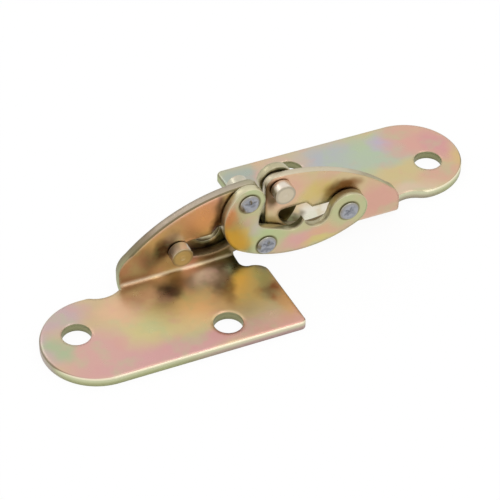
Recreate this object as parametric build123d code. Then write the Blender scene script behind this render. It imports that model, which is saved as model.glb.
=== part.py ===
"""Folding table hinge for a drop leaf or folding top.

Two pressed steel leaves meet end to end. Each has a flange that is screwed under its board and a
web that stands up in a groove of the board. A pair of crossing links joins the webs: each link turns
on a pin in one web, meets the other link at a centre rivet, and slides in a slot of the other web.
The right leaf folds up and over the left one by half a turn.

X runs along the hinge towards the right leaf, Y to the back and Z up. The origin is at the middle of
the hinge, level with the undersides of the flanges. The whole hinge looks the same after half a turn
about Z, so the right leaf and the back link are the left leaf and the front link turned round.
"""
from build123d import *

import os
from math import cos, radians, sin

# Sheet and bend, millimetres throughout
sheet = 1.4
bend_inside = 0.5
rolled_edge = 0.4
trimmed_edge = 0.22

# Flange, seen from above, of the left leaf
joint_gap = 0.7
tip_reach = 39.1
tip_radius = 8.75
waist_rise = Vector(-28.4, -1.7)
corner_radius = 1.0
shoulder_inset = 0.6
shoulder_y = -6.6
shoulder_crest = Vector(-1.75, -4.8)
throat_end = Vector(-3.6, -4.05)
throat_middle = Vector(-4.45, -3.6)
throat_start_y = -2.7
screw_hole = 4.5
outer_screw = Vector(6.0 - tip_reach, -8.1)
inner_screw = Vector(-11.4, -14.4)

# Web, seen from the front, of the left leaf
web_outer_x = -23.5
web_inner_x = -0.5
web_height = 14.5
web_crown_drop = 2.4
web_crown_x = -13.4
web_shoulder = Vector(-21.9, 6.3)
web_end_height = 3.4
web_end_bulge = Vector(0.45, 0.15)
web_inner_round = 1.8
bend_end_x = -4.8
rivet_room = 0.7
rivet_room_middle = 145
rivet_room_end = 190

# Pins of the front link, seen from the front
pivot = Vector(-2.9, web_height - 2.2)
centre = Vector(0, 3.15)
slider = Vector(13.9, 5.45)
link_ratio = 0.575

# Link plate
web_gap = 0.3
lobe_radius = 2.65
lobe_start = -8
lobe_end = 150
heel_radius = 7.8
heel_offset = Vector(0.7, 5.8)
heel_end = 222
belly_depth = 2.95
belly_x = 5.0
boss_radius = 3.2
boss_start = -58
boss_end = 170
scoop_radius = 2.4
scoop_offset = Vector(-5.2, 1.05)
cusp_offset = Vector(-2.35, -0.45)
cusp_bulge = Vector(0.35, -0.45)
notch_floor = Vector(3.9, 1.6)
notch_corner = Vector(-0.3, 3.35)
notch_bulge = Vector(-0.35, -0.15)
notch_back = Vector(-1.3, 5.3)
neck_bulge = Vector(-0.15, 0)

# Pins and rivet
shank_radius = 1.0
running_gap = 0.05
neck_radius = 0.8
slot_clearance = 0.1
head_radius = 1.5
head_length = 1.9
head_gap = 0.15
head_chamfer = 0.3
peen_radius = 1.6
peen_height = 0.6
peen_flat = 1.1
spacer_radius = 1.7

# Slot in the web
slot_head_room = 0.35
slot_step_start = -8.4
slot_step_end = -7.4
path_points = 9

# Sizes that follow from those above
half_web = sheet / 2
bend_outside = bend_inside + sheet
bend_y = half_web - bend_outside
link_inner_y = half_web + web_gap
link_outer_y = link_inner_y + sheet
inner_end_x = -joint_gap / 2
flange_front_y = bend_y - 2 * tip_radius
tip_centre = Vector(tip_radius - tip_reach, bend_y - tip_radius)
tip_top = Vector(tip_centre.X, bend_y)
shoulder = Vector(inner_end_x - shoulder_inset, shoulder_y)
fold_turn = 180 / (1 + link_ratio)
left_slider = Vector(-slider.X, slider.Y)
slot_radius = neck_radius + slot_clearance


def on_circle(middle, radius, angle):
    """Point on a circle, the angle in degrees anticlockwise from +X."""
    return middle + Vector(radius * cos(radians(angle)), radius * sin(radians(angle)))


def arc_about(middle, radius, start, end):
    """Arc about a point from one angle to another."""
    angles = (start, (start + end) / 2, end)
    return ThreePointArc(*[on_circle(middle, radius, angle) for angle in angles])


def angle_to(start, end):
    """Direction from one point to another, in degrees anticlockwise from +X."""
    return Vector(1, 0).get_signed_angle(end - start, Vector(0, 0, 1))


def front_plate(face, inner_y, thickness):
    """Plate cut from a face drawn in X and Z, from inner_y forward by its thickness."""
    return extrude(Plane.XZ.offset(inner_y) * face, thickness)


def slider_at(turn):
    """Place of the left slider pin in the left web when the front link has turned by this angle."""
    rivet = pivot + (centre - pivot).rotate(Axis.Z, turn)
    return rivet + (left_slider - centre).rotate(Axis.Z, link_ratio * turn)


def slot_face():
    """Slot in the left web: its lower edge runs beside the path of the slider pin."""
    turns = [fold_turn * step / (path_points - 1) for step in range(path_points)]
    start, end = slider_at(0), slider_at(fold_turn)
    below = []
    for turn in turns:
        along = (slider_at(turn + 0.5) - slider_at(turn - 0.5)).normalized()
        below.append(slider_at(turn) + along.rotate(Axis.Z, -90) * slot_radius)
    narrow_top = start.Y + slot_radius + slot_head_room
    start_angle = angle_to(start, below[0])
    end_angle = angle_to(end, below[-1])
    start_arc = arc_about(start, slot_radius, start_angle - 180, start_angle)
    end_arc = arc_about(end, slot_radius, end_angle, 90)
    return make_face(
        [
            Spline(*below),
            end_arc,
            Line(end_arc @ 1, (slot_step_end, (end_arc @ 1).Y)),
            Line((slot_step_end, (end_arc @ 1).Y), (slot_step_start, narrow_top)),
            Line((slot_step_start, narrow_top), (start.X + 2 * slot_radius, narrow_top)),
            Line((start.X + 2 * slot_radius, narrow_top), start_arc @ 0),
            start_arc,
        ]
    )


def web_face():
    """Outline of the left web above the bend, with its pivot hole and slot."""
    foot_z = bend_outside
    end_top = Vector(web_outer_x, web_end_height)
    end_middle = (end_top + Vector(web_outer_x, web_shoulder.Y)) * 0.5 + web_end_bulge
    crown = Vector(web_crown_x, web_height - web_crown_drop)
    crown_end = Vector(pivot.X, web_height)
    room = spacer_radius + rivet_room
    edge_x = web_inner_x
    corner = arc_about(Vector(edge_x - web_inner_round, web_height - web_inner_round), web_inner_round, 90, 0)
    rivet_top = centre + Vector(edge_x, (room**2 - edge_x**2) ** 0.5)
    rivet_side = on_circle(centre, room, rivet_room_end)
    outline = [
        Line((bend_end_x, foot_z), (web_outer_x, foot_z)),
        Line((web_outer_x, foot_z), end_top),
        ThreePointArc(end_top, end_middle, web_shoulder),
        ThreePointArc(web_shoulder, crown, crown_end),
        Line(crown_end, corner @ 0),
        corner,
        Line(corner @ 1, rivet_top),
        ThreePointArc(rivet_top, on_circle(centre, room, rivet_room_middle), rivet_side),
        Line(rivet_side, (bend_end_x, foot_z)),
    ]
    pivot_hole = Pos(*pivot) * Circle(shank_radius + running_gap)
    return make_face(outline) - pivot_hole - slot_face()


def flange_blank():
    """Left flange before its waist and throat are cut, with its upper rim rolled by the press."""
    front_y = flange_front_y
    corner_middle = Vector(inner_end_x - corner_radius, front_y + corner_radius)
    corner = arc_about(corner_middle, corner_radius, -90, 0)
    side = shoulder - (corner @ 1)
    inner_back = (corner @ 1) + side * ((bend_y - (corner @ 1).Y) / side.Y)
    outline = [
        Line(inner_back, tip_top),
        arc_about(tip_centre, tip_radius, 90, 270),
        Line((tip_centre.X, front_y), corner @ 0),
        corner,
        Line(corner @ 1, inner_back),
    ]
    blank = extrude(make_face(outline), sheet)
    return fillet(blank.faces().sort_by(Axis.Z)[-1].edges(), rolled_edge)


def flange_cuts():
    """Waist beside the web's outer end, throat at its inner end, and the two screw holes."""
    waist_start = Vector(web_outer_x, bend_y)
    hip = TangentArc(tip_top, waist_rise, tangent=(1, 0))
    waist = TangentArc(waist_rise, waist_start, tangent=hip % 1)
    throat_start = Vector(bend_end_x, throat_start_y)
    throat = [
        Line((bend_end_x, 0), throat_start),
        ThreePointArc(throat_start, throat_middle, throat_end),
        ThreePointArc(throat_end, shoulder_crest, shoulder),
        Line(shoulder, (-inner_end_x, shoulder.Y)),
        Line((-inner_end_x, shoulder.Y), (-inner_end_x, 0)),
        Line((-inner_end_x, 0), (bend_end_x, 0)),
    ]
    cuts = [make_face([hip, waist, Line(waist_start, tip_top)]), make_face(throat)]
    cuts += [Pos(*screw) * Circle(screw_hole / 2) for screw in (outer_screw, inner_screw)]
    return [extrude(cut, sheet) for cut in cuts]


def leaf():
    """Left leaf: flange, bend and web, folded from one sheet."""
    bend_length = bend_end_x - web_outer_x
    bend_root = Pos(web_outer_x + bend_length / 2, bend_y - rolled_edge / 2, sheet / 2)
    flange = flange_blank() + bend_root * Box(bend_length, rolled_edge, sheet) - flange_cuts()
    web = front_plate(web_face(), -half_web, sheet)
    rim = web.faces().sort_by(Axis.Y)[0].outer_wire().edges()
    web = chamfer(rim.filter_by(lambda edge: edge.center().Z > web_height / 2), trimmed_edge)
    ring = Circle(bend_outside) - Circle(bend_inside)
    quarter = ring & Pos(bend_outside / 2, -bend_outside / 2) * Rectangle(bend_outside, bend_outside)
    bend_plane = Plane(origin=(bend_end_x, bend_y, bend_outside), x_dir=(0, 1, 0), z_dir=(1, 0, 0))
    bend = extrude(bend_plane * quarter, -bend_length)
    return flange + bend + web


def link_face():
    """Outline of the front link with its pivot, centre and slider holes."""
    heel = centre + heel_offset
    heel_top = on_circle(pivot, lobe_radius, lobe_end)
    heel_foot = on_circle(heel, heel_radius, heel_end)
    heel_middle_radius = (heel_radius + (heel_top - heel).length) / 2
    heel_middle = on_circle(heel, heel_middle_radius, (angle_to(heel, heel_top) + heel_end) / 2)
    belly = Vector(belly_x, centre.Y - belly_depth)
    boss = arc_about(slider, boss_radius, boss_start, boss_end)
    scoop = slider + scoop_offset
    cusp = scoop + cusp_offset
    scoop_floor = scoop - Vector(0, scoop_radius)
    floor = centre + notch_floor
    corner = centre + notch_corner
    back = centre + notch_back
    lobe = arc_about(pivot, lobe_radius, lobe_start, lobe_end)
    outline = [
        ThreePointArc(heel_top, heel_middle, heel_foot),
        ThreePointArc(heel_foot, belly, boss @ 0),
        boss,
        ThreePointArc(boss @ 1, scoop_floor, cusp),
        ThreePointArc(cusp, (cusp + floor) * 0.5 + cusp_bulge, floor),
        Line(floor, corner),
        ThreePointArc(corner, (corner + back) * 0.5 + notch_bulge, back),
        ThreePointArc(back, (back + (lobe @ 0)) * 0.5 + neck_bulge, lobe @ 0),
        lobe,
    ]
    face = make_face(outline)
    for hole in (pivot, slider):
        face -= Pos(*hole) * Circle(shank_radius)
    return face - Pos(*centre) * Circle(shank_radius + running_gap)


def turned_piece(profile, place):
    """Round piece with its axis along Y, from points of radius and Y."""
    section = make_face(Polyline(*profile, close=True))
    return Pos(place.X, 0, place.Y) * revolve(section, Axis.Y)


def peened_end(face_y):
    """Profile of a peened end that stands in front of a plate's face at -face_y."""
    front = -face_y - peen_height
    return [(0, front), (peen_flat, front), (peen_radius, -face_y - peen_height / 3), (peen_radius, -face_y)]


def headed_pin(place, neck):
    """Pin peened into the front link, with a neck through the web and a plain head behind it."""
    head_start = half_web + head_gap
    head_end = head_start + head_length
    profile = peened_end(link_outer_y) + [(shank_radius, -link_outer_y)]
    if neck < shank_radius:
        profile += [(shank_radius, -link_inner_y), (neck, -link_inner_y)]
    profile += [
        (neck, head_start),
        (head_radius, head_start),
        (head_radius, head_end - head_chamfer),
        (head_radius - head_chamfer, head_end),
        (0, head_end),
    ]
    return turned_piece(profile, place)


def centre_rivet():
    """Shouldered rivet that holds the links apart, peened at both ends."""
    tight_radius = shank_radius + running_gap
    back_face = link_outer_y + head_gap
    back_end = [(radius, -y) for radius, y in reversed(peened_end(back_face))]
    profile = peened_end(link_outer_y) + [
        (tight_radius, -link_outer_y),
        (tight_radius, -link_inner_y),
        (spacer_radius, -link_inner_y),
        (spacer_radius, link_inner_y - head_gap),
        (shank_radius, link_inner_y - head_gap),
        (shank_radius, back_face),
    ] + back_end
    return turned_piece(profile, centre)


left_leaf = leaf()
front_link = front_plate(link_face(), link_inner_y, sheet)
pivot_pin = headed_pin(pivot, shank_radius)
slider_pin = headed_pin(slider, neck_radius)

pieces = {
    "left_leaf": left_leaf,
    "right_leaf": left_leaf.rotate(Axis.Z, 180),
    "front_link": front_link,
    "back_link": front_link.rotate(Axis.Z, 180),
    "left_pivot_pin": pivot_pin,
    "right_pivot_pin": pivot_pin.rotate(Axis.Z, 180),
    "right_slider_pin": slider_pin,
    "left_slider_pin": slider_pin.rotate(Axis.Z, 180),
    "centre_rivet": centre_rivet(),
}

os.makedirs("parts", exist_ok=True)
for name, shape in pieces.items():
    export_step(shape, f"parts/{name}.step")
print(f"front link turns {fold_turn:.3f} degrees, centre rivet at {centre}, pivot at {pivot}")
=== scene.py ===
"""Folding table hinge: plating, turned pins, floor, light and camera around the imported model."""

import bmesh
import bpy
import numpy as np
from mathutils import Matrix, Vector


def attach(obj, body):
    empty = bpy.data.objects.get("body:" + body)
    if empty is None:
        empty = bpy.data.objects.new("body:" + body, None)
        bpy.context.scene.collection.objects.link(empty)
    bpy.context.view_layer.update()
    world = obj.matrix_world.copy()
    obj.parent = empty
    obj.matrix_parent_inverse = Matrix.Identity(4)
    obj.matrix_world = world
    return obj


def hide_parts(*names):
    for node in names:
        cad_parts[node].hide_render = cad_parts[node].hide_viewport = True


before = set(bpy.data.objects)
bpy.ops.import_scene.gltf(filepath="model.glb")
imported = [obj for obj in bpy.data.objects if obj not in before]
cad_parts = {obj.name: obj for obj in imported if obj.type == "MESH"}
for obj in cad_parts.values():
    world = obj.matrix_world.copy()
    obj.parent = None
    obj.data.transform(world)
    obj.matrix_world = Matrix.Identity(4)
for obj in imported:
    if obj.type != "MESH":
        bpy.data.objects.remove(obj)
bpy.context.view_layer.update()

bl_info = {
    "name": "Folding Table Hinge",
    "version": (1, 0, 0),
    "blender": (4, 5, 0),
    "location": "3D View > Sidebar > Hinge",
    "description": "Plated leaves and links, turned pins and a studio for a folding table hinge",
    "category": "Object",
}

MM = 0.001
WHITE = (1.0, 1.0, 1.0, 1.0)

# Pins seen from the front, in mm: the place of each in X and Z
PIVOT = (-2.9, 12.3)
SLIDER = (13.9, 5.45)
CENTRE = (0.0, 3.15)

# Screw holes of the left leaf, seen from above, in mm
SCREWS = ((-33.1, -8.1), (-11.4, -14.4))

# Soft borders in mm: the foot of the web by its height, the bend by its distance from the middle
# plane, and the outer end of the web by its distance from the middle of the hinge
WEB_FOOT = (1.88, 1.92)
BEND_REACH = (1.2, 1.24)
WEB_END = (23.54, 23.58)

# Soft borders of a pin's end tone and of its peened face, in mm from the middle plane
END_TONE = (2.5, 2.75)
PEENED_FACE = (2.8, 2.88)

# Reach of the painted shade in a screw hole and of the painted shadow ring round a pin, in mm
BORE_SHADE_REACH = (2.6, 2.6, 4.0)
SHADOW_RING_REACH = (1.95, 3.0, 1.95)

# Streaks on the sheared walls, which run through the thickness of the sheet
LEAF_STREAKS = (3.0, 3.0, 0.5)
LINK_STREAKS = (3.0, 0.5, 3.0)

# Directions of the grooves of a peening mark, in radians
GROOVES = (0.0, 1.25, 2.2)

# Sockets of the colour Mix node
MIX_AMOUNT, MIX_UNDER, MIX_OVER, MIX_RESULT = 0, 6, 7, 2

# Soft lamps: name, place in metres, side in metres and power in watts
SOFTBOXES = (
    ("top_softbox", (0.15, -0.12, 0.46), 0.16, 0.2),
    ("back_softbox", (-0.24, 0.4, 0.33), 0.16, 0.16),
)

# Soft regions of tint on the plating: centre and reach in mm, then the tint as an sRGB byte colour. Most are
# the plating's own tones; those marked are painted reflection, light and shade.
LEFT_LEAF_TINTS = [
    ((-30.0, -13.0, 1.4), (10.0, 7.0, 4.0), (212, 168, 158)),
    ((-28.9, -4.7, 1.4), (6.0, 4.0, 3.0), (206, 180, 142)),
    ((-35.0, -3.4, 1.4), (6.5, 4.0, 3.0), (198, 172, 170)),
    ((-38.6, -8.5, 1.4), (2.2, 6.0, 3.0), (200, 174, 172)),
    ((-36.9, -9.6, 1.4), (2.5, 3.4, 3.0), (174, 186, 150)),
    ((-21.6, -9.8, 1.4), (7.4, 4.6, 3.0), (210, 196, 142)),
    ((-24.8, -5.4, 1.4), (3.6, 3.4, 2.0), (224, 184, 148)),
    ((-20.2, -3.8, 1.4), (3.6, 3.0, 2.0), (240, 216, 180)),
    ((-20.0, -16.9, 1.4), (20.0, 3.0, 4.0), (212, 164, 160)),
    ((-14.0, -9.4, 1.4), (6.0, 5.0, 2.0), (226, 200, 148)),
    ((-11.8, -4.6, 1.4), (4.2, 3.0, 2.0), (222, 188, 158)),
    ((-6.0, -8.6, 1.4), (4.4, 4.8, 2.0), (228, 198, 136)),
    # Painted reflection of the dark gap at the bend's inner end
    ((-9.3, -6.0, 1.4), (2.0, 6.4, 2.0), (148, 122, 92)),
    # Painted reflection of the slider pin's head, with its shadow
    ((-16.6, -4.0, 1.4), (2.5, 2.9, 2.0), (114, 98, 78)),
    # Painted red-brown reflection of the centre rivet and the link below it
    ((-3.0, -10.4, 1.4), (2.7, 2.4, 2.0), (172, 116, 78)),
    ((-1.3, -14.0, 1.4), (3.4, 4.4, 2.0), (214, 172, 120)),
    ((-4.0, -18.4, 1.4), (7.0, 2.6, 4.0), (212, 164, 148)),
    # Painted dark reflection near the bend, below the link
    ((-6.6, -2.2, 1.4), (3.6, 2.8, 1.2), (96, 74, 48)),
    ((-14.0, -0.7, 7.5), (15.0, 3.0, 7.0), (222, 192, 150)),
    ((-20.6, -0.7, 3.4), (5.0, 3.0, 4.0), (182, 150, 120)),
    ((-10.6, -0.7, 11.6), (4.4, 3.0, 4.6), (238, 190, 158)),
    ((-8.0, -0.7, 2.9), (7.5, 2.0, 2.1), (146, 122, 90)),
    # Painted shadow round the slider pin on the web
    ((-15.7, -0.7, 6.4), (2.2, 2.0, 3.2), (96, 72, 52)),
    # Painted shadow beside the link's heel on the web
    ((-7.3, -0.7, 9.2), (1.3, 2.0, 4.4), (88, 62, 44)),
]
RIGHT_LEAF_TINTS = [
    ((19.0, 13.6, 1.4), (8.5, 6.5, 3.0), (180, 182, 184)),
    ((26.6, 12.4, 1.4), (8.5, 6.0, 3.0), (180, 192, 168)),
    ((27.7, 15.6, 1.4), (3.0, 2.0, 3.0), (190, 178, 190)),
    ((33.1, 13.9, 1.4), (5.5, 5.5, 3.0), (214, 166, 152)),
    ((36.4, 11.2, 1.4), (3.2, 4.4, 3.0), (212, 156, 154)),
    ((38.0, 5.6, 1.4), (2.6, 3.4, 3.0), (212, 184, 130)),
    ((33.4, 4.4, 1.4), (4.4, 3.6, 3.0), (212, 170, 148)),
    ((27.0, 7.6, 1.4), (5.5, 3.0, 3.0), (206, 188, 140)),
    ((3.2, 15.3, 1.4), (5.0, 5.5, 3.0), (170, 178, 166)),
    ((10.5, 15.0, 1.4), (4.0, 5.0, 3.0), (206, 178, 160)),
    ((26.6, 1.6, 1.4), (7.0, 2.4, 3.0), (214, 190, 164)),
    # Pale patch painted as the light seen through the right web's slot
    ((11.4, 3.4, 1.4), (5.6, 3.4, 0.8), (228, 222, 206)),
    # Painted shade in the pocket beside it
    ((7.0, 3.9, 1.4), (2.2, 2.0, 0.8), (92, 80, 54)),
    ((3.0, -0.7, 11.8), (5.5, 3.0, 4.5), (220, 180, 152)),
    ((9.2, -0.7, 9.6), (3.6, 3.0, 2.8), (210, 188, 118)),
    ((20.5, -0.7, 4.0), (6.0, 3.0, 5.0), (214, 166, 148)),
    # Painted shade on the web above the link's boss
    ((12.8, -0.7, 8.8), (3.6, 2.0, 1.8), (140, 98, 58)),
    # Painted shadow left of the pivot pin's head
    ((1.2, -0.7, 11.4), (1.5, 2.0, 3.4), (104, 84, 56)),
]
FRONT_LINK_TINTS = [
    ((0.0, -2.4, 5.5), (4.2, 3.0, 5.5), (186, 192, 144)),
    ((-5.6, -2.4, 5.4), (3.2, 3.0, 4.4), (232, 196, 104)),
    ((-5.6, -2.4, 10.4), (1.7, 3.0, 1.9), (220, 168, 118)),
    ((-3.2, -2.4, 13.8), (3.4, 3.0, 2.6), (186, 194, 148)),
    ((-2.0, -2.4, 8.0), (1.6, 3.0, 2.4), (196, 186, 166)),
    ((6.4, -2.4, 2.4), (4.6, 3.0, 2.4), (214, 168, 158)),
    ((10.4, -2.4, 2.8), (3.4, 3.0, 1.9), (216, 174, 142)),
    ((9.4, -2.4, 0.8), (3.6, 3.0, 1.1), (210, 194, 128)),
    ((14.2, -2.4, 5.6), (4.2, 3.0, 4.4), (192, 190, 146)),
]
BACK_LINK_TINTS = [
    ((-7.0, 1.7, 3.0), (7.0, 3.0, 4.0), (200, 172, 124)),
    ((5.0, 1.7, 9.0), (4.0, 3.0, 5.0), (192, 194, 146)),
    # Painted shade over the back link's face, behind the web
    ((0.0, 1.0, 7.0), (30.0, 0.7, 20.0), (112, 102, 72)),
]

# Tints of the sheared walls; those marked are painted shade
LEFT_WALL_TINTS = [
    ((-4.0, -18.7, 0.6), (16.0, 4.0, 3.0), (178, 152, 146)),
    ((-39.0, -9.0, 0.6), (3.0, 8.0, 3.0), (180, 168, 156)),
    ((-14.0, 0.0, 12.0), (18.0, 3.0, 9.0), (166, 154, 138)),
    # Painted shade inside the left web's slot
    ((-9.8, 0.0, 5.4), (15.0, 2.4, 7.0), (86, 66, 42)),
    ((-14.0, 0.0, 14.0), (14.0, 3.0, 4.0), (178, 168, 152)),
]
RIGHT_WALL_TINTS = [
    ((38.5, 8.0, 0.6), (3.0, 9.0, 3.0), (176, 160, 150)),
    ((27.0, 1.5, 0.6), (6.0, 3.5, 3.0), (172, 164, 140)),
    ((10.0, 0.0, 13.0), (18.0, 3.0, 8.0), (200, 190, 166)),
    # Painted shade inside the right web's slot
    ((9.8, 0.0, 5.4), (14.0, 2.4, 6.4), (112, 98, 64)),
    ((12.0, 0.0, 14.0), (16.0, 3.0, 4.0), (204, 194, 170)),
]
LINK_WALL_TINTS = [
    ((-3.0, -1.7, 14.0), (5.0, 3.0, 4.0), (208, 200, 168)),
    # Painted shade on the back link's wall, seen through the slot
    ((-9.0, 1.2, 6.0), (7.0, 1.3, 5.0), (84, 72, 46)),
]


def linear(byte_colour):
    """Linear colour of an sRGB byte colour."""
    part = np.array(byte_colour) / 255
    curve = np.where(part <= 0.04045, part / 12.92, ((part + 0.055) / 1.055) ** 2.4)
    return (*curve.tolist(), 1.0)


class Reading:
    """A number, colour or vector on a shader socket. Sums, differences and products of numbers add
    their Math nodes."""

    def __init__(self, finish, socket):
        self.finish = finish
        self.socket = socket

    def __add__(self, other):
        return self.finish.math("ADD", self, other)

    __radd__ = __add__

    def __mul__(self, other):
        return self.finish.math("MULTIPLY", self, other)

    __rmul__ = __mul__

    def __sub__(self, other):
        return self.finish.math("SUBTRACT", self, other)

    def __rsub__(self, other):
        return self.finish.math("SUBTRACT", other, self)


class Finish:
    """A material and its node tree."""

    def __init__(self, name):
        self.material = bpy.data.materials.new(name)
        self.material.use_nodes = True
        self.tree = self.material.node_tree
        self.tree.nodes.clear()

    def add(self, kind, settings=None, sockets=None, output=0):
        """Adds a node: first its settings, then the value or link of each socket named or numbered."""
        node = self.tree.nodes.new(kind)
        for key, value in (settings or {}).items():
            setattr(node, key, value)
        for key, value in (sockets or {}).items():
            if isinstance(value, Reading):
                self.tree.links.new(value.socket, node.inputs[key])
            else:
                node.inputs[key].default_value = value
        return Reading(self, node.outputs[output]) if node.outputs else node

    def math(self, operation, *numbers):
        """Math node on one or two numbers."""
        return self.add("ShaderNodeMath", {"operation": operation}, dict(enumerate(numbers)))

    def vector(self, operation, first, others=None, output=0):
        """Vector Math node on a first vector."""
        sockets = {0: first, **(others or {})}
        return self.add("ShaderNodeVectorMath", {"operation": operation}, sockets, output)

    def place(self):
        """Object coordinates in mm."""
        metres = self.add("ShaderNodeTexCoord", output="Object")
        return self.vector("SCALE", metres, {"Scale": 1 / MM})

    def axis(self, vector, output):
        """One coordinate of a vector."""
        return self.add("ShaderNodeSeparateXYZ", None, {0: vector}, output)

    def noise(self, place, scale, detail=2.0, output=0):
        """Noise at a number of cells per mm."""
        sockets = {"Vector": place, "Scale": scale, "Detail": detail}
        return self.add("ShaderNodeTexNoise", None, sockets, output)

    def ease(self, reading, low, high, start=0.0, end=1.0):
        """Smooth step of a reading: start at low, end at high."""
        return self.add(
            "ShaderNodeMapRange",
            {"interpolation_type": "SMOOTHSTEP"},
            {"Value": reading, "From Min": low, "From Max": high, "To Min": start, "To Max": end},
        )

    def spot(self, place, centre, reach, full=0.35, none=1.25):
        """Soft ellipsoid: 1 up to one share of its reach and 0 from another on."""
        shrink = tuple(1 / r for r in reach)
        shift = tuple(-c / r for c, r in zip(centre, reach))
        scaled = self.vector("MULTIPLY_ADD", place, {1: shrink, 2: shift})
        distance = self.vector("LENGTH", scaled, output="Value")
        return self.ease(distance, full, none, 1.0, 0.0)

    def tint(self, colour, other, amount):
        """Mixes two colours by an amount."""
        sockets = {MIX_AMOUNT: amount, MIX_UNDER: colour, MIX_OVER: other}
        return self.add("ShaderNodeMix", {"data_type": "RGBA"}, sockets, MIX_RESULT)

    def lay(self, colour, tone, amount):
        """Lays a tone of sRGB bytes over a colour by an amount."""
        return self.tint(colour, linear(tone), amount)

    def metal(self, colour, gloss, relief_sockets):
        """Ends the tree with metal under a relief, and returns the material."""
        bump = self.add("ShaderNodeBump", None, relief_sockets)
        sockets = {"Base Color": colour, "Metallic": 1.0, "Roughness": gloss, "Normal": bump}
        return self.show(self.add("ShaderNodeBsdfPrincipled", None, sockets))

    def show(self, shader):
        """Ends the tree with a shader and returns the material."""
        self.add("ShaderNodeOutputMaterial", None, {"Surface": shader})
        return self.material


def facing(finish, axis):
    """How squarely a surface faces along an axis of its object, either way: 0 to 1."""
    normal = finish.add("ShaderNodeTexCoord", output="Normal")
    return finish.math("ABSOLUTE", finish.axis(normal, axis))


def loosened(finish, place, sizes):
    """A place that wanders to and fro, so that tints laid by it drift into each other."""
    drift = finish.noise(place, sizes.drift_scale, 3.0, "Color")
    centred = finish.vector("SUBTRACT", drift, {1: (0.5, 0.5, 0.5)})
    wander = finish.vector("SCALE", centred, {"Scale": sizes.drift_reach})
    return finish.vector("ADD", place, {1: wander})


def tinted(finish, base, tints, place):
    """Base tone with the soft regions of tint laid over it in their order."""
    colour = linear(base)
    for centre, reach, tone in tints:
        colour = finish.lay(colour, tone, finish.spot(place, centre, reach))
    return colour


def passivated(finish, place, flat, face, walls, sizes):
    """Colour of yellow passivated zinc, with the masks of its sheared walls and its rolled edges.

    Face and walls are each a base tone and its tints, and finer rose and green mottling lies over
    the face. Flat says how squarely the surface faces as the plate does: where it does so fully it
    is face, where it stands square to the plate it is wall, and a rolled edge lies between.
    """
    loose_place = loosened(finish, place, sizes)
    colour = tinted(finish, *face, loose_place)
    mottle = finish.noise(place, sizes.mottle_scale, 4.0)
    rose = finish.ease(mottle, 0.52, 0.7, 0.0, sizes.mottle_strength)
    green = finish.ease(mottle, 0.3, 0.48, sizes.mottle_strength, 0.0)
    colour = finish.lay(colour, sizes.rose_tone, rose)
    colour = finish.lay(colour, sizes.green_tone, green)
    wall = finish.ease(flat, 0.2, 0.75, 1.0, 0.0)
    rolled = finish.ease(flat, 0.15, 0.5) * finish.ease(flat, 0.8, 0.985, 1.0, 0.0)
    wall_colour = tinted(finish, *walls, loose_place)
    return finish.tint(colour, wall_colour, wall * 0.92), wall, rolled


def leaf_flatness(finish, place):
    """How squarely a leaf's surface faces as its plate does, with the mask of the bend.

    The plate faces up or down on the flange and to the front or back on the web. On the bend
    between them it faces any way but along the hinge.
    """
    on_web = finish.ease(finish.axis(place, "Z"), *WEB_FOOT)
    across = finish.math("ABSOLUTE", finish.axis(place, "Y"))
    along = finish.math("ABSOLUTE", finish.axis(place, "X"))
    beside_web = finish.ease(along, *WEB_END, 1.0, 0.0)
    on_bend = finish.ease(across, *BEND_REACH, 1.0, 0.0) * beside_web * (1 - on_web)
    web = facing(finish, "Y") * on_web
    bend = (1 - facing(finish, "X")) * on_bend
    flange = facing(finish, "Z") * (1 - on_web - on_bend)
    return web + bend + flange, on_bend


def painted_edge_light(finish, place, colour, wall, rolled, on_bend, sizes):
    """Lays painted light on a leaf's edges: a painted highlight on the upper walls and rolled edges along the
    flange's long sides, a faint painted highlight inside the bend, and painted shade along the edges of the
    web and the flange's ends."""
    height = finish.axis(place, "Z")
    up = facing(finish, "Z")
    upper = finish.ease(height, 3.0, 4.0)
    on_flange = (1 - upper) * (1 - on_bend)
    long_side = finish.ease(facing(finish, "Y"), 0.3, 0.5)
    # Painted highlight: the walls of the long sides grow lighter towards the rolled edge
    painted_wall_highlight = wall * finish.ease(height, 0.35, 1.1) * on_flange * long_side
    inner_bend = finish.ease(up, 0.3, 0.55) * finish.ease(up, 0.8, 0.97, 1.0, 0.0) * on_bend
    inside = finish.ease(height, 1.3, 1.5)
    # Painted highlight on the rolled edges of the long sides, and a faint one inside the bend
    painted_highlight = rolled * on_flange * long_side + inner_bend * inside * 0.2
    # Painted shade: dark lines along the web's edges and the flange's ends
    painted_edge_shade = rolled * (upper + on_flange * (1 - long_side) * 0.8)
    colour = finish.lay(colour, sizes.wall_highlight_tone, painted_wall_highlight * 0.7)
    colour = finish.lay(colour, sizes.edge_highlight_tone, painted_highlight * 0.8)
    return finish.lay(colour, sizes.edge_shade_tone, painted_edge_shade * 0.85)


def plated_metal(finish, place, colour, wall, streak_stretch, sizes):
    """Ends the plating: a fine orange peel in the gloss, streaks on the walls, and a gloss that bends
    round the edges."""
    streaks = finish.noise(finish.vector("MULTIPLY", place, {1: streak_stretch}), 1.0, 3.0)
    peel = finish.noise(place, sizes.peel_scale, 3.0)
    grain = finish.noise(place, sizes.peel_scale * 5, 2.0)
    worn = finish.noise(place, sizes.mottle_scale * 2.3, 3.0)
    gloss = sizes.gloss + (worn - 0.5) * sizes.gloss_drift + wall * 0.12
    relief = {
        "Strength": 0.35,
        "Distance": sizes.peel_height * MM,
        "Height": peel * 0.7 + grain * 0.12 + streaks * wall * 1.6,
        "Normal": finish.add("ShaderNodeBevel", {"samples": 6}, {"Radius": sizes.roll_reach * MM}),
    }
    return finish.metal(colour, gloss, relief)


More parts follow.
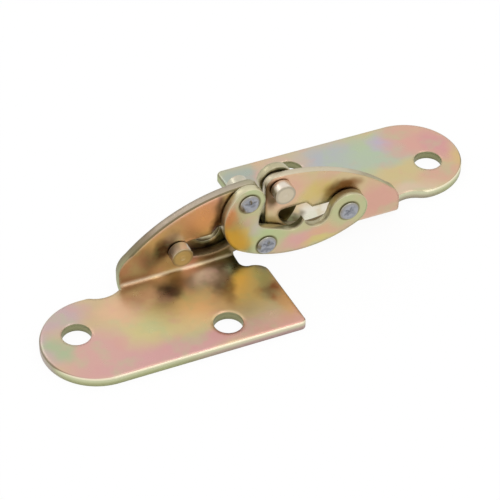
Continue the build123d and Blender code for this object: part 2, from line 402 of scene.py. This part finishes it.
def leaf_plating(name, tints, wall_tints, screws, sizes):
    """Plating of a leaf, with painted highlights and shade on its edges and painted shade inside its screw
    holes.
    """
    finish = Finish(name)
    place = finish.place()
    flat, on_bend = leaf_flatness(finish, place)
    face = (sizes.leaf_base, tints)
    walls = (sizes.wall_base, wall_tints)
    colour, wall, rolled = passivated(finish, place, flat, face, walls, sizes)
    colour = painted_edge_light(finish, place, colour, wall, rolled, on_bend, sizes)
    for x, y in screws:
        # Painted shade on the walls inside each screw hole
        painted_bore_shade = finish.spot(place, (x, y, 0.5), BORE_SHADE_REACH, 0.9, 1.02)
        colour = finish.lay(colour, sizes.bore_shade_tone, painted_bore_shade * wall * 0.85)
    return plated_metal(finish, place, colour, wall, LEAF_STREAKS, sizes)


def link_plating(name, tints, pins, sizes):
    """Plating of a link, with a painted highlight on its rolled edges and a painted shadow ring round each of
    its pins.
    """
    finish = Finish(name)
    place = finish.place()
    face = (sizes.link_base, tints)
    walls = (sizes.link_wall_base, LINK_WALL_TINTS)
    colour, wall, rolled = passivated(finish, place, facing(finish, "Y"), face, walls, sizes)
    # Painted highlight on the link's rolled edges
    colour = finish.lay(colour, sizes.edge_highlight_tone, rolled * 0.45)
    # Painted shadow ring round each pin, where its end meets the link
    for x, z in pins:
        shadow_ring = finish.spot(place, (x, -1.7, z), SHADOW_RING_REACH, 0.9, 1.05)
        colour = finish.lay(colour, sizes.shadow_ring_tone, shadow_ring * 0.75)
    return plated_metal(finish, place, colour, wall, LINK_STREAKS, sizes)


def turned_steel(name, base, front_tone, back_tone, place_mm, sizes):
    """Plated turned steel: rings of the lathe about the pin's own line, a tone for each end with a
    darker rim, dark peening marks, mottled peened faces and faint rubbing marks round the shank."""
    finish = Finish(name)
    place = finish.place()
    away = finish.vector("SUBTRACT", place, {1: (place_mm[0], 0.0, place_mm[1])})
    square_to_line = finish.vector("MULTIPLY", away, {1: (1.0, 0.0, 1.0)})
    radius = finish.vector("LENGTH", square_to_line, output="Value")
    depth = finish.axis(place, "Y")
    rings = finish.math("SINE", radius * 42.0 + finish.noise(place, 1.2) * 2.0)
    scuffs = finish.noise(finish.vector("MULTIPLY", place, {1: (1.0, 6.0, 1.0)}), 1.5, 3.0)
    warm = finish.ease(finish.noise(place, 0.8, 3.0), 0.45, 0.65, 0.0, 0.5)
    front_end = finish.ease(depth, -END_TONE[1], -END_TONE[0], 1.0, 0.0)
    back_end = finish.ease(depth, *END_TONE)
    rim = finish.ease(radius, 1.15, 1.5) * (front_end + back_end)
    sunk = finish.add("ShaderNodeAttribute", {"attribute_name": "sunk"}, output="Fac")
    peened_face = finish.ease(finish.math("ABSOLUTE", depth), *PEENED_FACE)
    hammered = finish.ease(finish.noise(place, 1.3, 4.0), 0.43, 0.63) * peened_face
    colour = linear(base)
    for tone, amount in (
        (sizes.warm_tone, warm),
        (front_tone, front_end),
        (back_tone, back_end),
        (sizes.end_rim_tone, rim * 0.5),
        (sizes.stake_tone, finish.ease(sunk, 0.2, 1.3) * 0.55),
        (sizes.stake_tone, hammered * 0.6),
    ):
        colour = finish.lay(colour, tone, amount)
    gloss = sizes.pin_gloss + (scuffs - 0.5) * 0.16
    relief = {
        "Strength": 0.3,
        "Distance": sizes.ring_height * MM,
        "Height": rings * 0.25 + scuffs * 0.6,
    }
    return finish.metal(colour, gloss, relief)


def rounded_profile(corners, reach, steps=6):
    """Profile whose corners are rounded by parabolas.

    Near a corner C, with A before it and B after it at the reach or 0.45 of the run, the curve is
    (1 - t)^2 A + 2 t (1 - t) C + t^2 B for t from 0 to 1. The two ends stay sharp.
    """
    points = np.array(corners, dtype=float)
    inner = points[1:-1]
    before = points[:-2] - inner
    after = points[2:] - inner
    run_before = np.linalg.norm(before, axis=1, keepdims=True)
    run_after = np.linalg.norm(after, axis=1, keepdims=True)
    start = inner + before * np.minimum(reach / run_before, 0.45)
    end = inner + after * np.minimum(reach / run_after, 0.45)
    t = np.linspace(0, 1, steps)[None, :, None]
    curve = (1 - t) ** 2 * start[:, None] + 2 * t * (1 - t) * inner[:, None] + t**2 * end[:, None]
    return np.vstack([points[:1], curve.reshape(-1, 2), points[-1:]])


def stake_depth(radius, angle, sizes, turn):
    """Depth of the peening marks at a radius and angle.

    Each of the crossing grooves has the depth d exp(-(r sin(a - g) / w)^2) for its own direction g,
    longer to one side, and is faded out towards the rim by 1 - (r / R)^4. A shallow dish
    d (1 - (r / R)^2) / 3 lies under them.
    """
    rim = sizes.stake_reach
    fade = np.clip(1 - (radius / rim) ** 4, 0, 1)
    depth = sizes.stake_depth * np.clip(1 - (radius / rim) ** 2, 0, 1) / 3
    for groove in GROOVES:
        away = angle - (turn + groove)
        across = radius * np.sin(away) / sizes.stake_width
        along = np.clip(0.35 + radius * np.cos(away), 0, 1)
        depth = depth + sizes.stake_depth * fade * along * np.exp(-(across**2))
    return depth


def turned_mesh(name, corners, place_mm, half_turn, sizes, turn, around=96, face_rings=16):
    """Round piece about a line along Y through a place in X and Z.

    A point of the profile with radius r and depth y goes to x = X + r cos a, z = Z + r sin a for the
    angle a from 0 to a whole turn. Both end faces have finer rings, and those past the peened
    distance sink by the peening marks.
    """
    profile = rounded_profile(corners, sizes.edge_round)
    fine = np.linspace(0, 1, face_rings)[:, None]
    front_face = profile[0] * (1 - fine) + profile[1] * fine
    back_face = profile[-2] * (1 - fine) + profile[-1] * fine
    profile = np.vstack([front_face, profile[2:-2], back_face])
    angle = np.linspace(0, 2 * np.pi, around, endpoint=False)
    radius, a = np.meshgrid(profile[:, 0], angle, indexing="ij")
    depth = np.repeat(profile[:, 1:2], around, axis=1)
    sunk = stake_depth(radius, a, sizes, turn)
    front_end = np.clip((-sizes.peened_from - depth) / 0.1, 0, 1)
    back_end = np.clip((depth - sizes.peened_from) / 0.1, 0, 1)
    y = depth + sunk * (front_end - back_end)
    grid = np.stack([place_mm[0] + radius * np.cos(a), y, place_mm[1] + radius * np.sin(a)], axis=2)
    if half_turn:
        grid = grid * np.array([-1.0, -1.0, 1.0])
    sunk = sunk * np.maximum(front_end, back_end) / sizes.stake_depth
    return surface(name, grid * MM, sunk)


def surface(name, grid, sunk):
    """Mesh object from a grid of points that closes on itself in its second direction, with how far
    each point is sunk by the peening marks kept as an attribute."""
    rows, columns = grid.shape[:2]
    index = np.arange(rows * columns).reshape(rows, columns)
    across = np.roll(index, -1, axis=1)
    faces = np.stack([index[:-1], index[1:], across[1:], across[:-1]], axis=2).reshape(-1, 4)
    mesh = bpy.data.meshes.new(name)
    mesh.from_pydata(grid.reshape(-1, 3), [], faces)
    mark = mesh.attributes.new("sunk", "FLOAT", "POINT")
    mark.data.foreach_set("value", sunk.ravel().astype(np.float32))
    shell = bmesh.new()
    shell.from_mesh(mesh)
    bmesh.ops.remove_doubles(shell, verts=shell.verts, dist=1e-7)
    bmesh.ops.recalc_face_normals(shell, faces=shell.faces)
    shell.to_mesh(mesh)
    shell.free()
    mesh.shade_smooth()
    mesh.set_sharp_from_angle(angle=0.9)
    piece = bpy.data.objects.new(name, mesh)
    bpy.context.scene.collection.objects.link(piece)
    return piece


def ease_edges(node, width_mm):
    """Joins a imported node's loose triangles into flat faces and rolls its sharp edges a little, as
    pressing and barrel plating do, with the shading kept flat on the large faces."""
    weld = node.modifiers.new("weld", "WELD")
    weld.merge_threshold = 2e-6
    flat = node.modifiers.new("flat_faces", "DECIMATE")
    flat.decimate_type = "DISSOLVE"
    flat.angle_limit = 0.004
    bevel = node.modifiers.new("eased_edges", "BEVEL")
    bevel.width = width_mm * MM
    bevel.segments = 3
    bevel.limit_method = "ANGLE"
    bevel.angle_limit = 0.7
    lay = node.modifiers.new("flat_normals", "WEIGHTED_NORMAL")
    lay.weight = 100
    node.data.shade_smooth()


def dress(node_name, material):
    """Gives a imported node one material."""
    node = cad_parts[node_name]
    node.data.materials.clear()
    node.data.materials.append(material)
    return node


class HingePlating(bpy.types.PropertyGroup):
    """Sizes and tones of the plating"""

    drift_scale: bpy.props.FloatProperty(
        name="Drift scale",
        description="Cells per mm of the noise that bends the tints",
        default=0.16,
        min=0.0,
    )
    drift_reach: bpy.props.FloatProperty(
        name="Drift reach", description="How far the edge of a tint wanders, in mm", default=6.0, min=0.0
    )
    mottle_scale: bpy.props.FloatProperty(
        name="Mottle scale", description="Cells per mm of the rose and green mottling", default=0.22, min=0.0
    )
    mottle_strength: bpy.props.FloatProperty(
        name="Mottle strength",
        description="Share of the mottling",
        default=0.35,
        subtype="FACTOR",
        min=0.0,
        max=1.0,
    )
    gloss: bpy.props.FloatProperty(
        name="Roughness",
        description="Roughness of the plated faces",
        default=0.3,
        subtype="FACTOR",
        min=0.0,
        max=1.0,
    )
    gloss_drift: bpy.props.FloatProperty(
        name="Roughness drift",
        description="How much the roughness changes over a face",
        default=0.14,
        min=0.0,
    )
    peel_scale: bpy.props.FloatProperty(
        name="Peel scale", description="Cells per mm of the orange peel", default=1.1, min=0.0
    )
    peel_height: bpy.props.FloatProperty(
        name="Peel height", description="Height of the orange peel, in mm", default=0.05, min=0.0
    )
    roll_reach: bpy.props.FloatProperty(
        name="Roll reach", description="How far the gloss bends round an edge, in mm", default=0.9, min=0.0
    )
    edge_width: bpy.props.FloatProperty(
        name="Eased edge", description="Width of the leaves' eased edges, in mm", default=0.2, min=0.0
    )
    link_edge_width: bpy.props.FloatProperty(
        name="Eased link edge", description="Width of the links' eased edges, in mm", default=0.2, min=0.0
    )
    leaf_base: bpy.props.IntVectorProperty(
        name="Leaf tone",
        description="Tone between the leaves' tints, as bytes",
        default=(208, 186, 144),
        min=0,
        max=255,
    )
    link_base: bpy.props.IntVectorProperty(
        name="Link tone",
        description="Tone between the links' tints, as bytes",
        default=(196, 188, 146),
        min=0,
        max=255,
    )
    wall_base: bpy.props.IntVectorProperty(
        name="Wall tone",
        description="Tone of the leaves' sheared walls, as bytes",
        default=(168, 174, 128),
        min=0,
        max=255,
    )
    link_wall_base: bpy.props.IntVectorProperty(
        name="Link wall tone",
        description="Tone of the links' sheared walls, as bytes",
        default=(190, 182, 150),
        min=0,
        max=255,
    )
    rose_tone: bpy.props.IntVectorProperty(
        name="Rose tone",
        description="Rose tone of the mottling, as bytes",
        default=(218, 160, 152),
        min=0,
        max=255,
    )
    green_tone: bpy.props.IntVectorProperty(
        name="Green tone",
        description="Green tone of the mottling, as bytes",
        default=(178, 198, 148),
        min=0,
        max=255,
    )
    # Painted shade inside the screw holes
    bore_shade_tone: bpy.props.IntVectorProperty(
        name="Bore shade tone",
        description="Tone inside the screw holes, as bytes",
        default=(136, 134, 98),
        min=0,
        max=255,
    )
    # Painted highlight on the rolled edges and inside the bend
    edge_highlight_tone: bpy.props.IntVectorProperty(
        name="Edge highlight tone",
        description="Tone of the rolled edges and the inside of the bend, as bytes",
        default=(244, 236, 206),
        min=0,
        max=255,
    )
    # Painted highlight on the walls under the rolled edges
    wall_highlight_tone: bpy.props.IntVectorProperty(
        name="Wall highlight tone",
        description="Tone of a wall under its rolled edge, as bytes",
        default=(218, 220, 184),
        min=0,
        max=255,
    )
    # Painted shadow round the front link's pins
    shadow_ring_tone: bpy.props.IntVectorProperty(
        name="Shadow ring tone",
        description="Tone of the front link round its pins, as bytes",
        default=(96, 88, 60),
        min=0,
        max=255,
    )
    # Painted shade on the web's edges and the flange's ends
    edge_shade_tone: bpy.props.IntVectorProperty(
        name="Edge shade tone",
        description="Tone of the dark edges on the web and the flange's ends, as bytes",
        default=(104, 98, 70),
        min=0,
        max=255,
    )


class HingePins(bpy.types.PropertyGroup):
    """Sizes and tones of the pins"""

    head_radius: bpy.props.FloatProperty(
        name="Head radius", description="Radius of the pins' heads, in mm", default=1.7, min=0.1
    )
    peened_from: bpy.props.FloatProperty(
        name="Peened from",
        description="Distance from the middle plane where an end is peened, in mm",
        default=2.9,
    )
    stake_reach: bpy.props.FloatProperty(
        name="Stake reach", description="Radius that the peening marks reach, in mm", default=1.3, min=0.1
    )
    stake_depth: bpy.props.FloatProperty(
        name="Stake depth", description="Depth of the peening marks, in mm", default=0.2, min=0.01
    )
    stake_width: bpy.props.FloatProperty(
        name="Stake width", description="Half width of a peening mark, in mm", default=0.19, min=0.01
    )
    edge_round: bpy.props.FloatProperty(
        name="Edge round",
        description="Reach of the rounded corners of the pins, in mm",
        default=0.16,
        min=0.0,
    )
    ring_height: bpy.props.FloatProperty(
        name="Ring height", description="Height of the turning rings, in mm", default=0.03, min=0.0
    )
    pin_gloss: bpy.props.FloatProperty(
        name="Roughness",
        description="Roughness of the pins",
        default=0.36,
        subtype="FACTOR",
        min=0.0,
        max=1.0,
    )
    front_shank_tone: bpy.props.IntVectorProperty(
        name="Front shank tone",
        description="Tone of the shanks on the front arm, as bytes",
        default=(192, 188, 168),
        min=0,
        max=255,
    )
    back_shank_tone: bpy.props.IntVectorProperty(
        name="Back shank tone",
        description="Tone of the shanks on the back arm, as bytes",
        default=(226, 216, 202),
        min=0,
        max=255,
    )
    bare_tone: bpy.props.IntVectorProperty(
        name="Bare tone",
        description="Tone of the peened faces, as bytes",
        default=(166, 168, 174),
        min=0,
        max=255,
    )
    pivot_head_tone: bpy.props.IntVectorProperty(
        name="Pivot head tone",
        description="Tone of the pivot pins' heads, as bytes",
        default=(206, 194, 170),
        min=0,
        max=255,
    )
    slider_head_tone: bpy.props.IntVectorProperty(
        name="Slider head tone",
        description="Tone of the slider pins' heads, as bytes",
        default=(206, 184, 138),
        min=0,
        max=255,
    )
    stake_tone: bpy.props.IntVectorProperty(
        name="Stake tone",
        description="Tone in the peening marks, as bytes",
        default=(104, 106, 114),
        min=0,
        max=255,
    )
    end_rim_tone: bpy.props.IntVectorProperty(
        name="End rim tone",
        description="Tone of the rim round an end, as bytes",
        default=(146, 138, 122),
        min=0,
        max=255,
    )
    warm_tone: bpy.props.IntVectorProperty(
        name="Warm tone",
        description="Warmer tone in the shanks, as bytes",
        default=(218, 200, 184),
        min=0,
        max=255,
    )


class HingeStage(bpy.types.PropertyGroup):
    """Camera and floor"""

    distance: bpy.props.FloatProperty(
        name="Camera distance", description="From the camera to the origin", default=0.34856, unit="LENGTH"
    )
    azimuth: bpy.props.FloatProperty(
        name="Azimuth",
        description="Where the camera stands round the hinge, 0 at the front",
        default=np.radians(-24.295),
        subtype="ANGLE",
    )
    elevation: bpy.props.FloatProperty(
        name="Elevation",
        description="How high the camera stands over the floor",
        default=np.radians(41.849),
        subtype="ANGLE",
    )
    roll: bpy.props.FloatProperty(
        name="Roll",
        description="How far the camera is turned about its own line of sight",
        default=np.radians(1.109),
        subtype="ANGLE",
    )
    lens: bpy.props.FloatProperty(
        name="Lens", description="Focal length in mm", default=161.84, unit="CAMERA"
    )
    aside: bpy.props.FloatProperty(
        name="Aside",
        description="How far right of the middle the origin shows, over the focal length",
        default=0.004352,
    )
    above: bpy.props.FloatProperty(
        name="Above",
        description="How far above the middle the origin shows, over the focal length",
        default=0.000117,
    )
    floor_white: bpy.props.FloatProperty(
        name="Floor white",
        description="Share of the floor that the camera and the metal see as plain white",
        default=0.93,
        subtype="FACTOR",
        min=0.0,
        max=1.0,
    )


def turn_pins(corners, place_mm, nodes, materials, sizes, turn):
    """A pin on the front arm and, where there are two nodes, its fellow on the back arm."""
    for node, body, material, half_turn in zip(nodes, ("front_arm", "back_arm"), materials, (False, True)):
        pin = turned_mesh(f"turned_{node}", corners, place_mm, half_turn, sizes, turn + 0.6 * half_turn)
        pin.data.materials.append(material)
        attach(pin, body)
        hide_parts(node)


class HINGE_OT_plate_leaves(bpy.types.Operator):
    """Plates the two leaves and eases their edges"""

    bl_idname = "hinge.plate_leaves"
    bl_label = "Plate leaves"

    def execute(self, context):
        sizes = context.scene.hinge_plating
        opposite_screws = tuple((-x, -y) for x, y in SCREWS)
        for node, tints, wall_tints, screws in (
            ("left_leaf", LEFT_LEAF_TINTS, LEFT_WALL_TINTS, SCREWS),
            ("right_leaf", RIGHT_LEAF_TINTS, RIGHT_WALL_TINTS, opposite_screws),
        ):
            material = leaf_plating(f"plated_{node}", tints, wall_tints, screws, sizes)
            ease_edges(dress(node, material), sizes.edge_width)
        return {"FINISHED"}


class HINGE_OT_plate_links(bpy.types.Operator):
    """Plates the two crossing links and eases their edges"""

    bl_idname = "hinge.plate_links"
    bl_label = "Plate links"

    def execute(self, context):
        sizes = context.scene.hinge_plating
        for node, tints, pins in (
            ("front_link", FRONT_LINK_TINTS, (PIVOT, CENTRE, SLIDER)),
            ("back_link", BACK_LINK_TINTS, ()),
        ):
            material = link_plating(f"plated_{node}", tints, pins, sizes)
            ease_edges(dress(node, material), sizes.link_edge_width)
        return {"FINISHED"}


class HINGE_OT_turn_pins(bpy.types.Operator):
    """Turns the headed pins and the centre rivet with their peened ends"""

    bl_idname = "hinge.turn_pins"
    bl_label = "Turn pins"

    def execute(self, context):
        sizes = context.scene.hinge_pins
        # Profiles from the front end to the back, as pairs of radius and depth along Y, in mm
        peened = [(0.0, -3.0), (1.15, -3.0), (1.6, -2.6), (1.6, -2.4)]
        wide = sizes.head_radius
        head = [(wide, 0.85), (wide, 2.75), (0.45, 2.75), (0.34, 2.69), (0.0, 2.7)]
        pivot = peened + [(1.0, -2.4), (1.0, 0.85)] + head
        slider = peened + [(1.0, -2.4), (1.0, -1.0), (0.8, -1.0), (0.8, 0.85)] + head
        back = [(1.0, 0.85), (1.0, 2.55), (1.6, 2.55), (1.6, 2.75), (1.15, 3.15), (0.0, 3.15)]
        rivet = peened + [(1.05, -2.4), (1.05, -1.0), (1.7, -1.0), (1.7, 0.85)] + back
        bare = sizes.bare_tone
        for kind, corners, place_mm, nodes, head_tone, turn in (
            ("pivot", pivot, PIVOT, ("left_pivot_pin", "right_pivot_pin"), sizes.pivot_head_tone, 0.5),
            ("slider", slider, SLIDER, ("right_slider_pin", "left_slider_pin"), sizes.slider_head_tone, 1.3),
            ("rivet", rivet, CENTRE, ("centre_rivet",), bare, 0.2),
        ):
            opposite = (-place_mm[0], place_mm[1])
            materials = (
                turned_steel(f"{kind}_front_steel", sizes.front_shank_tone, bare, head_tone, place_mm, sizes),
                turned_steel(f"{kind}_back_steel", sizes.back_shank_tone, head_tone, bare, opposite, sizes),
            )
            turn_pins(corners, place_mm, nodes, materials, sizes, turn)
        return {"FINISHED"}


def white_seen(finish, shader, part):
    """Shader that camera, mirror and glass rays see as plain white light, by a part of it."""
    camera = finish.add("ShaderNodeLightPath", output="Is Camera Ray")
    mirror = finish.add("ShaderNodeLightPath", output="Is Glossy Ray")
    glass = finish.add("ShaderNodeLightPath", output="Is Transmission Ray")
    seen = finish.math("MAXIMUM", finish.math("MAXIMUM", camera, mirror), glass)
    glow = finish.add("ShaderNodeEmission", None, {"Color": WHITE, "Strength": 1.0})
    return finish.add("ShaderNodeMixShader", None, {0: seen * part, 1: shader, 2: glow})


class HINGE_OT_set_stage(bpy.types.Operator):
    """Sets the floor, the soft light, the plain view and the camera"""

    bl_idname = "hinge.set_stage"
    bl_label = "Set stage"

    def execute(self, context):
        scene = context.scene
        self.lay_floor(scene, scene.hinge_stage.floor_white)
        self.light_world(scene)
        for name, place, side, power in SOFTBOXES:
            self.hang_softbox(scene, name, place, side, power)
        self.aim_camera(scene, scene.hinge_stage)
        scene.view_settings.view_transform = "Standard"
        return {"FINISHED"}

    def lay_floor(self, scene, white):
        """Pale floor just under the flanges."""
        half = 1.5
        level = -0.00002
        corners = [(-half, -half, level), (half, -half, level), (half, half, level), (-half, half, level)]
        mesh = bpy.data.meshes.new("floor")
        mesh.from_pydata(corners, [], [(0, 1, 2, 3)])
        floor = bpy.data.objects.new("floor", mesh)
        scene.collection.objects.link(floor)
        finish = Finish("pale_floor")
        grain = finish.noise(finish.place(), 0.02, 2.0)
        pale = finish.tint((0.93, 0.93, 0.92, 1.0), (0.95, 0.95, 0.95, 1.0), grain)
        sockets = {"Base Color": pale, "Roughness": 1.0, "Specular IOR Level": 0.0}
        matt = finish.add("ShaderNodeBsdfPrincipled", None, sockets)
        mesh.materials.append(finish.show(white_seen(finish, matt, white)))

    def light_world(self, scene):
        """Soft even light from all round, seen as white."""
        world = bpy.data.worlds.new("studio")
        scene.world = world
        world.use_nodes = True
        background = world.node_tree.nodes["Background"]
        background.inputs["Color"].default_value = WHITE
        background.inputs["Strength"].default_value = 1.0

    def hang_softbox(self, scene, name, place, side, power):
        """Square soft lamp that looks at the origin."""
        light = bpy.data.lights.new(name, "AREA")
        light.shape = "SQUARE"
        light.size = side
        light.energy = power
        lamp = bpy.data.objects.new(name, light)
        lamp.location = place
        lamp.rotation_euler = (-Vector(place)).to_track_quat("-Z", "Y").to_euler()
        scene.collection.objects.link(lamp)

    def aim_camera(self, scene, sizes):
        """Camera at the viewing angle of the photograph, turned a little so that the origin shows off
        the middle of the frame."""
        a, e, roll = sizes.azimuth, sizes.elevation, sizes.roll
        back = Vector((np.sin(a) * np.cos(e), -np.cos(a) * np.cos(e), np.sin(e)))
        level_right = Vector((np.cos(a), np.sin(a), 0.0))
        level_up = back.cross(level_right)
        right = level_right * np.cos(roll) + level_up * np.sin(roll)
        up = level_up * np.cos(roll) - level_right * np.sin(roll)
        away = (back + right * sizes.aside - up * sizes.above).normalized()
        across = up.cross(away).normalized()
        turn = Matrix((across, away.cross(across), away)).transposed()
        data = bpy.data.cameras.new("view")
        data.lens = sizes.lens
        data.sensor_width = 36.0
        data.clip_start = 0.01
        data.clip_end = 20.0
        camera = bpy.data.objects.new("view", data)
        camera.matrix_world = Matrix.Translation(back * sizes.distance) @ turn.to_4x4()
        scene.collection.objects.link(camera)
        scene.camera = camera


class HINGE_PT_panel(bpy.types.Panel):
    """Lists the steps of the hinge and their values"""

    bl_idname = "HINGE_PT_panel"
    bl_label = "Folding Table Hinge"
    bl_space_type = "VIEW_3D"
    bl_region_type = "UI"
    bl_category = "Hinge"

    def draw(self, context):
        for step in STEPS:
            self.layout.operator(step.bl_idname)
        for group in (context.scene.hinge_plating, context.scene.hinge_pins, context.scene.hinge_stage):
            box = self.layout.box()
            for name in group.__annotations__:
                box.prop(group, name)


GROUPS = {"hinge_plating": HingePlating, "hinge_pins": HingePins, "hinge_stage": HingeStage}
STEPS = (HINGE_OT_plate_leaves, HINGE_OT_plate_links, HINGE_OT_turn_pins, HINGE_OT_set_stage)


def register():
    for group in GROUPS.values():
        bpy.utils.register_class(group)
    for name, group in GROUPS.items():
        setattr(bpy.types.Scene, name, bpy.props.PointerProperty(type=group))
    for step in (*STEPS, HINGE_PT_panel):
        bpy.utils.register_class(step)


def unregister():
    for step in reversed((*STEPS, HINGE_PT_panel)):
        bpy.utils.unregister_class(step)
    for name in GROUPS:
        delattr(bpy.types.Scene, name)
    for group in reversed(GROUPS.values()):
        bpy.utils.unregister_class(group)


def main():
    """Registers the add-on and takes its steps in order."""
    register()
    bpy.ops.hinge.plate_leaves()
    bpy.ops.hinge.plate_links()
    bpy.ops.hinge.turn_pins()
    bpy.ops.hinge.set_stage()


if __name__ == "__main__":
    main()
